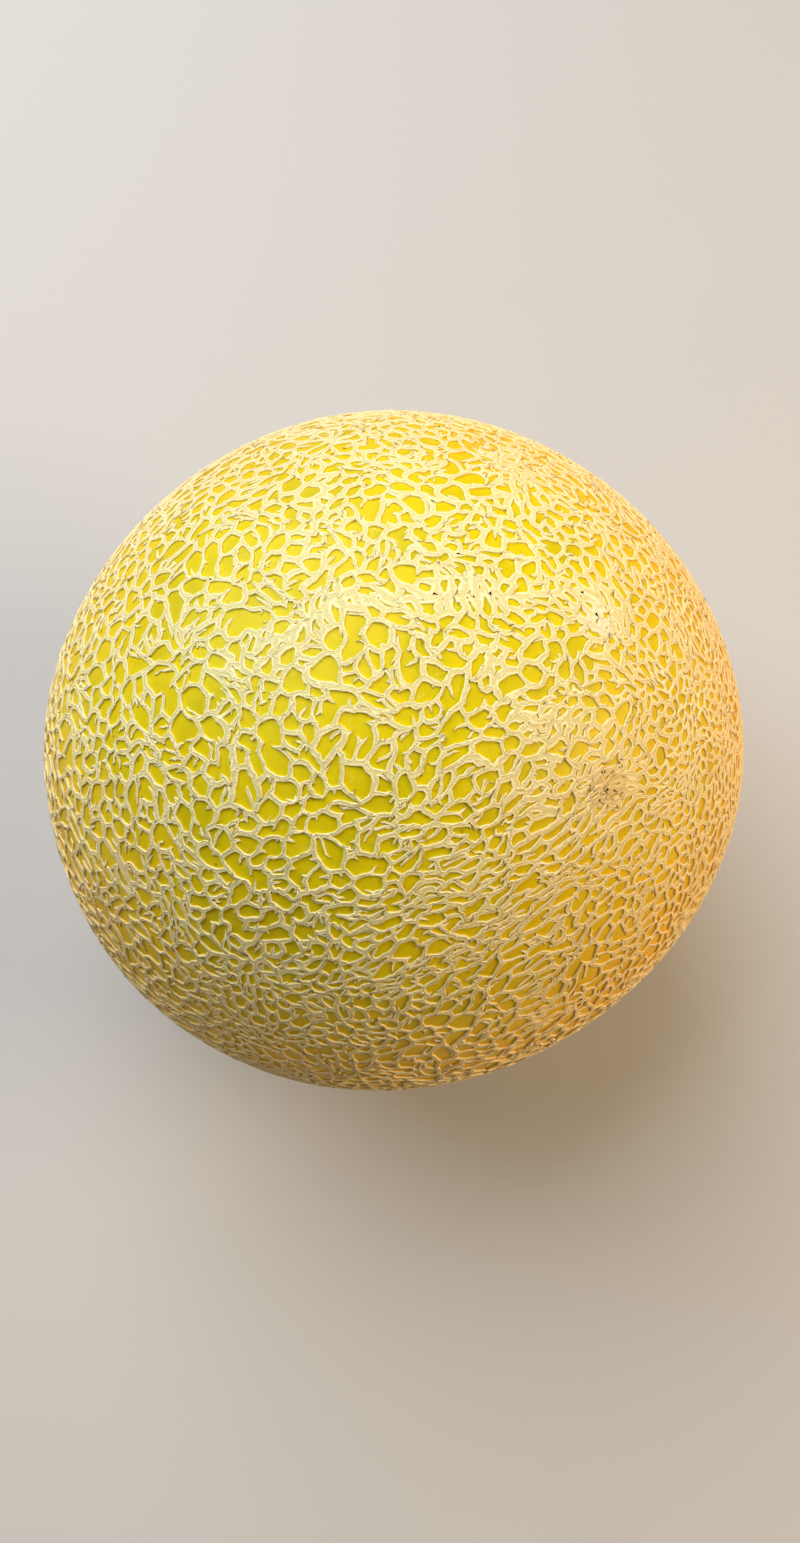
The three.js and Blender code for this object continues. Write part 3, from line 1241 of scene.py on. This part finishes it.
def use_group(tree, group, sockets):
    """Places a group in a material and returns its outputs."""
    node = add(tree, "ShaderNodeGroup", {}, node_tree=group)
    for name, value in sockets.items():
        if isinstance(value, bpy.types.NodeSocket):
            tree.links.new(value, node.inputs[name])
        else:
            node.inputs[name].default_value = value
    return node.outputs


# %% Group: how warm each place is, from ripeness and painted light
PALE_LIT_TOP = unit(np.array([-0.15, -0.1, 0.97]))
LEAST_WARMTH = 0.85


def facing(tree, place, side):
    """The cosine of the angle between a side and the way from the body's middle to a place."""
    sockets = {0: place, 1: tuple(MIDDLE)}
    offset = add(tree, "ShaderNodeVectorMath", sockets, operation="SUBTRACT").outputs[0]
    sockets = {0: offset, 1: tuple(side / SEMI_AXES[1])}
    return add(tree, "ShaderNodeVectorMath", sockets, operation="DOT_PRODUCT").outputs["Value"]


def warmth_ripe_and_lit_group():
    """How far a place lies from the pale top, shifted a little by slow noise, and in full only where
    it faces the sun side.
    The warmth is partly riper colour and partly painted warm light, with the top kept pale as painted
    window light."""
    group, given, result = new_group(
        "sun side", {"Place": "NodeSocketVector"}, {"Warmth": "NodeSocketFloat"}
    )
    place = given["Place"]
    slow = math(group, "MULTIPLY", noise(group, place, 26.0), 0.5)
    # Painted light in part: warmer towards the warm lamp on the right, and paler on the window-lit
    # top.
    away = math(group, "SUBTRACT", slow, facing(group, place, PALE_LIT_TOP))
    towards = rise(group, facing(group, place, SUN_SIDE), -0.1, 0.8)
    share = math(group, "MULTIPLY", towards, 1 - LEAST_WARMTH)
    share = math(group, "ADD", share, LEAST_WARMTH)
    sunny = math(group, "MULTIPLY", rise(group, away, -0.8, 0.0), share)
    group.links.new(sunny, result["Warmth"])
    return group


# %% Group: the grain of a dry surface
def grain_group():
    """Fine noise and coarser noise together, as a mask from 0 to 1, and specks that are 1 in
    a few small spots."""
    group, given, result = new_group(
        "dry grain",
        {"Place": "NodeSocketVector", "Fineness": "NodeSocketFloat", "Speck Share": "NodeSocketFloat"},
        {"Grain": "NodeSocketFloat", "Specks": "NodeSocketFloat"},
    )
    fine = noise(group, given["Place"], given["Fineness"], 3.0, 0.6)
    coarse_scale = math(group, "MULTIPLY", given["Fineness"], 0.2)
    coarse = noise(group, given["Place"], coarse_scale, 2.0)
    both = math(group, "MULTIPLY", math(group, "ADD", fine, coarse), 0.5)
    group.links.new(both, result["Grain"])
    spots = add(
        group, "ShaderNodeTexVoronoi", {"Vector": given["Place"], "Scale": 420.0}, feature="F1"
    )
    lucky = math(group, "LESS_THAN", spots.outputs["Color"], given["Speck Share"])
    close = math(group, "SUBTRACT", 1.0, rise(group, spots.outputs["Distance"], 0.1, 0.2))
    group.links.new(math(group, "MULTIPLY", lucky, close), result["Specks"])
    return group


warmth_ripe_and_lit = warmth_ripe_and_lit_group()
dry_grain = grain_group()
print("groups:", warmth_ripe_and_lit.name, "and", dry_grain.name)

# %% [markdown]
# ## Finishes
#
# The skin is waxy and lemon yellow with green clouds, and turns orange towards the sun, partly as
# riper colour and partly as painted warm light.
# The cork is dry and cream. Its rims are pale and the shallow grooves between them darker, with a
# green tinge: partly the cork's own colour, and partly a painted highlight on the raised rims and
# painted shade in the sunken grooves, so its colour follows the height that the mesh stores for each
# point. Low on its flanks the cork is thin, and the skin's yellow shines through.

# %% A new material with its shader


def new_finish(name, roughness):
    """A material with a Principled shader, and the place on the object for its patterns."""
    material = bpy.data.materials.new(name)
    material.use_nodes = True
    tree = material.node_tree
    shader = tree.nodes["Principled BSDF"]
    shader.inputs["Roughness"].default_value = roughness
    place = tree.nodes.new("ShaderNodeTexCoord").outputs["Object"]
    return material, tree, shader, place


def bump(tree, shader, height, strength, distance):
    """Lets a height pattern tilt the shading."""
    sockets = {"Height": height, "Strength": strength, "Distance": distance}
    normal = add(tree, "ShaderNodeBump", sockets).outputs["Normal"]
    tree.links.new(normal, shader.inputs["Normal"])


# %% Skin finish
def skin_finish():
    """Lemon to orange with green clouds, small pores and a soft waxy shine. The orange is partly riper
    colour and partly painted warm light.
    """
    material, tree, shader, place = new_finish("waxy yellow skin", 0.42)
    shader.inputs["Specular IOR Level"].default_value = 0.15
    sunny = use_group(tree, warmth_ripe_and_lit, {"Place": place})["Warmth"]
    grain = use_group(tree, dry_grain, {"Place": place, "Fineness": 900.0, "Speck Share": 0.12})
    clouds = rise(tree, noise(tree, place, 90.0, 3.0), 0.42, 0.68)
    lemon = blend(tree, clouds, paint("dfcf06"), paint("cdc206"))
    warm = blend(tree, clouds, paint("e8b208"), paint("d9a608"))
    # Orange where the warmth is high: partly the riper side, and partly painted warm light on the
    # right, away from the window-lit top.
    colour = blend(tree, sunny, lemon, warm)
    colour = blend(tree, math(tree, "MULTIPLY", grain["Specks"], 0.5), colour, paint("8a7a10"))
    pale = use_group(tree, dry_grain, {"Place": place, "Fineness": 1900.0, "Speck Share": 0.0})
    dots = math(tree, "MULTIPLY", rise(tree, pale["Grain"], 0.58, 0.68), 0.4)
    colour = blend(tree, dots, colour, paint("ece66a"))
    tree.links.new(colour, shader.inputs["Base Color"])
    bump(tree, shader, grain["Grain"], 0.25, 0.0004)
    return material


# %% Cork finish
SPOTS = [
    (unit(np.array([0.48, -0.14, 0.86])), 5.0 * MM, "fff3dc", 0.6),
    (unit(np.array([0.38, -0.51, 0.77])), 6.0 * MM, "c99a52", 0.5),
    (unit(np.array([0.7, -0.44, 0.56])), 2.0 * MM, "b0703a", 0.6),
    (unit(np.array([0.69, -0.48, 0.54])), 2.0 * MM, "b0703a", 0.6),
]


def spot(tree, place, middle, radius):
    """1 in the middle of a round spot, falling to 0 at its uneven border."""
    sockets = {0: place, 1: tuple(middle)}
    away = add(tree, "ShaderNodeVectorMath", sockets, operation="DISTANCE").outputs["Value"]
    uneven = math(tree, "MULTIPLY", noise(tree, place, 500.0), radius)
    outside = rise(tree, math(tree, "ADD", away, uneven), 0.5 * radius, 1.5 * radius)
    return math(tree, "SUBTRACT", 1.0, outside)


def stained(tree, place, colour):
    """The colour with the spots laid over it."""
    for direction, radius, stain, share in SPOTS:
        middle = MIDDLE + direction * body_radius(direction)
        inside = math(tree, "MULTIPLY", spot(tree, place, middle, radius), share)
        colour = blend(tree, inside, colour, paint(stain))
    return colour


def rim_relief_and_highlight(tree, place, grain):
    """1 on the rims and on fine wrinkles between them, and 0 in the grooves. It gives the height for
    the bump, and in the colour it partly stands for light: a painted highlight on the raised rims and
    painted shade in the sunken grooves.
    """
    lip_height = add(tree, "ShaderNodeAttribute", {}, attribute_name="lip").outputs["Fac"]
    uneven = math(tree, "MULTIPLY", math(tree, "SUBTRACT", grain, 0.5), 0.8)
    rims = rise(tree, math(tree, "ADD", lip_height, uneven), 0.32, 0.88)
    between = math(tree, "ABSOLUTE", math(tree, "SUBTRACT", noise(tree, place, 600.0, 1.0), 0.5))
    wrinkles = math(tree, "SUBTRACT", 1.0, rise(tree, between, 0.0, 0.05))
    return math(tree, "MAXIMUM", rims, math(tree, "MULTIPLY", wrinkles, 0.7))


def cork_finish():
    """Pale rims and darker, greener grooves: partly the cork's own colour, and partly a painted
    highlight on the raised rims and painted shade in the sunken grooves. Both are warmer towards the
    sun, partly as riper colour and partly as painted warm light, and yellow where the cork is thin. It
    has a dry grain with dark specks, and four spots that are crusted white, worn brown or stained."""
    material, tree, shader, place = new_finish("cream cork", 0.68)
    shader.inputs["Specular IOR Level"].default_value = 0.2
    sunny = use_group(tree, warmth_ripe_and_lit, {"Place": place})["Warmth"]
    grain = use_group(tree, dry_grain, {"Place": place, "Fineness": 1500.0, "Speck Share": 0.05})
    # Partly painted light: the rims paler as a painted highlight, and the grooves darker as painted
    # shade. Both are warmer where the painted warm light falls.
    rim = blend(tree, sunny, paint("fdf6c4"), paint("fee4a6"))
    groove = blend(tree, sunny, paint("e3db98"), paint("edc474"))
    thin = blend(tree, sunny, paint("e6d83c"), paint("ecbc3c"))
    rims = rim_relief_and_highlight(tree, place, grain["Grain"])
    low_down = add(tree, "ShaderNodeAttribute", {}, attribute_name="low").outputs["Fac"]
    thinness = math(tree, "MULTIPLY", rise(tree, low_down, 0.1, 0.8), 0.9)
    colour = blend(tree, thinness, blend(tree, rims, groove, rim), thin)
    colour = blend(tree, math(tree, "MULTIPLY", grain["Specks"], 0.55), colour, paint("8f7a44"))
    tree.links.new(stained(tree, place, colour), shader.inputs["Base Color"])
    height = math(tree, "ADD", rims, math(tree, "MULTIPLY", grain["Grain"], 0.6))
    bump(tree, shader, height, 0.7, 0.00016)
    return material


# %% Scar finish
def scar_finish():
    """Brown dry cork, darker in its cracks."""
    material, tree, shader, place = new_finish("brown scar cork", 0.8)
    grain = use_group(tree, dry_grain, {"Place": place, "Fineness": 1100.0, "Speck Share": 0.2})
    colour = blend(tree, rise(tree, grain["Grain"], 0.35, 0.65), paint("8d7244"), paint("cdb684"))
    tree.links.new(colour, shader.inputs["Base Color"])
    bump(tree, shader, grain["Grain"], 0.8, 0.0006)
    return material


# %% Dress the pieces
finishes = {"skin": skin_finish(), "cork": cork_finish(), "scar": scar_finish()}
dressed = [(skin, "skin"), (stem_scar, "scar"), (blossom_scar, "scar")]
dressed += [(piece, "cork") for piece in net_pieces]
for piece, finish in dressed:
    piece.data.materials.append(finishes[finish])
    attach(piece, BODY)
    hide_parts(NODE)
print(len(dressed), "pieces in", len(finishes), "finishes")

# %% [markdown]
# ## Floor, light and camera
#
# The fruit lies on a plain pale floor. A cool soft light comes from the upper left, as from a
# window, and a warmer one from the right. The camera looks steeply down from close by, like a
# hand-held phone, so the outline is a little narrower than the fruit's true width.

# %% Floor
FLOOR_SIZE = 3.0


def floor_piece():
    """One large level square under the fruit."""
    half = FLOOR_SIZE / 2
    mesh = bpy.data.meshes.new("floor")
    corners = [(-half, -half, 0), (half, -half, 0), (half, half, 0), (-half, half, 0)]
    mesh.from_pydata(corners, [], [(0, 1, 2, 3)])
    piece = bpy.data.objects.new("floor", mesh)
    bpy.context.collection.objects.link(piece)
    material, _, shader, _ = new_finish("pale floor", 0.6)
    shader.inputs["Base Color"].default_value = paint("c1c0be")
    mesh.materials.append(material)
    return piece


floor_piece()
print("the floor is", FLOOR_SIZE, "m wide")

# %% Camera
CAMERA_TURN = np.radians(-17)
CAMERA_RISE = np.radians(70)
CAMERA_DISTANCE = 0.264
FRAME_HEIGHT_PX = 1543
FOCAL_PX = 1211
AIM_RIGHT_PX = 7.3
AIM_DOWN_PX = 19.8
SENSOR = 36.0

back = np.array(
    [
        np.sin(CAMERA_TURN) * np.cos(CAMERA_RISE),
        -np.cos(CAMERA_TURN) * np.cos(CAMERA_RISE),
        np.sin(CAMERA_RISE),
    ]
)
right = unit(np.cross([0.0, 0.0, 1.0], back))
upward = np.cross(back, right)
to_metres = CAMERA_DISTANCE / FOCAL_PX
aim = MIDDLE + right * AIM_RIGHT_PX * to_metres - upward * AIM_DOWN_PX * to_metres


def looking(piece, spot, target):
    """Puts an object at a spot and points its -Z axis at the target, with its Y axis up."""
    piece.location = spot
    way = Vector(target) - Vector(spot)
    piece.rotation_euler = way.to_track_quat("-Z", "Y").to_euler()


camera = bpy.data.objects.new("camera", bpy.data.cameras.new("camera"))
camera.data.sensor_width = SENSOR
camera.data.lens = SENSOR * FOCAL_PX / FRAME_HEIGHT_PX
camera.data.clip_start = 0.01
looking(camera, MIDDLE + back * CAMERA_DISTANCE, aim)
bpy.context.collection.objects.link(camera)
bpy.context.scene.camera = camera
print("camera lens", round(camera.data.lens, 1), "mm")

# %% Lights


def soft_light(name, way, distance, size, watts, colour):
    """A square lamp that shines on the fruit from a direction."""
    lamp = bpy.data.lights.new(name, "AREA")
    lamp.size = size
    lamp.energy = watts
    lamp.color = paint(colour)[:3]
    piece = bpy.data.objects.new(name, lamp)
    looking(piece, MIDDLE + unit(np.array(way)) * distance, MIDDLE)
    bpy.context.collection.objects.link(piece)


soft_light("window", back * 0.6 - right * 0.42 + upward * 0.78, 1.1, 1.2, 17.5, "fbfcff")
soft_light("warm_lamp", right * 0.85 + back * 0.5 + upward * 0.05, 0.9, 0.5, 6.1, "ffe2bc")
world = bpy.data.worlds.new("studio")
bpy.context.scene.world = world
world.use_nodes = True
world.node_tree.nodes["Background"].inputs["Color"].default_value = paint("f6ead2")
world.node_tree.nodes["Background"].inputs["Strength"].default_value = 0.13
bpy.context.scene.view_settings.view_transform = "Standard"
print("lights:", [lamp.name for lamp in bpy.data.lights])
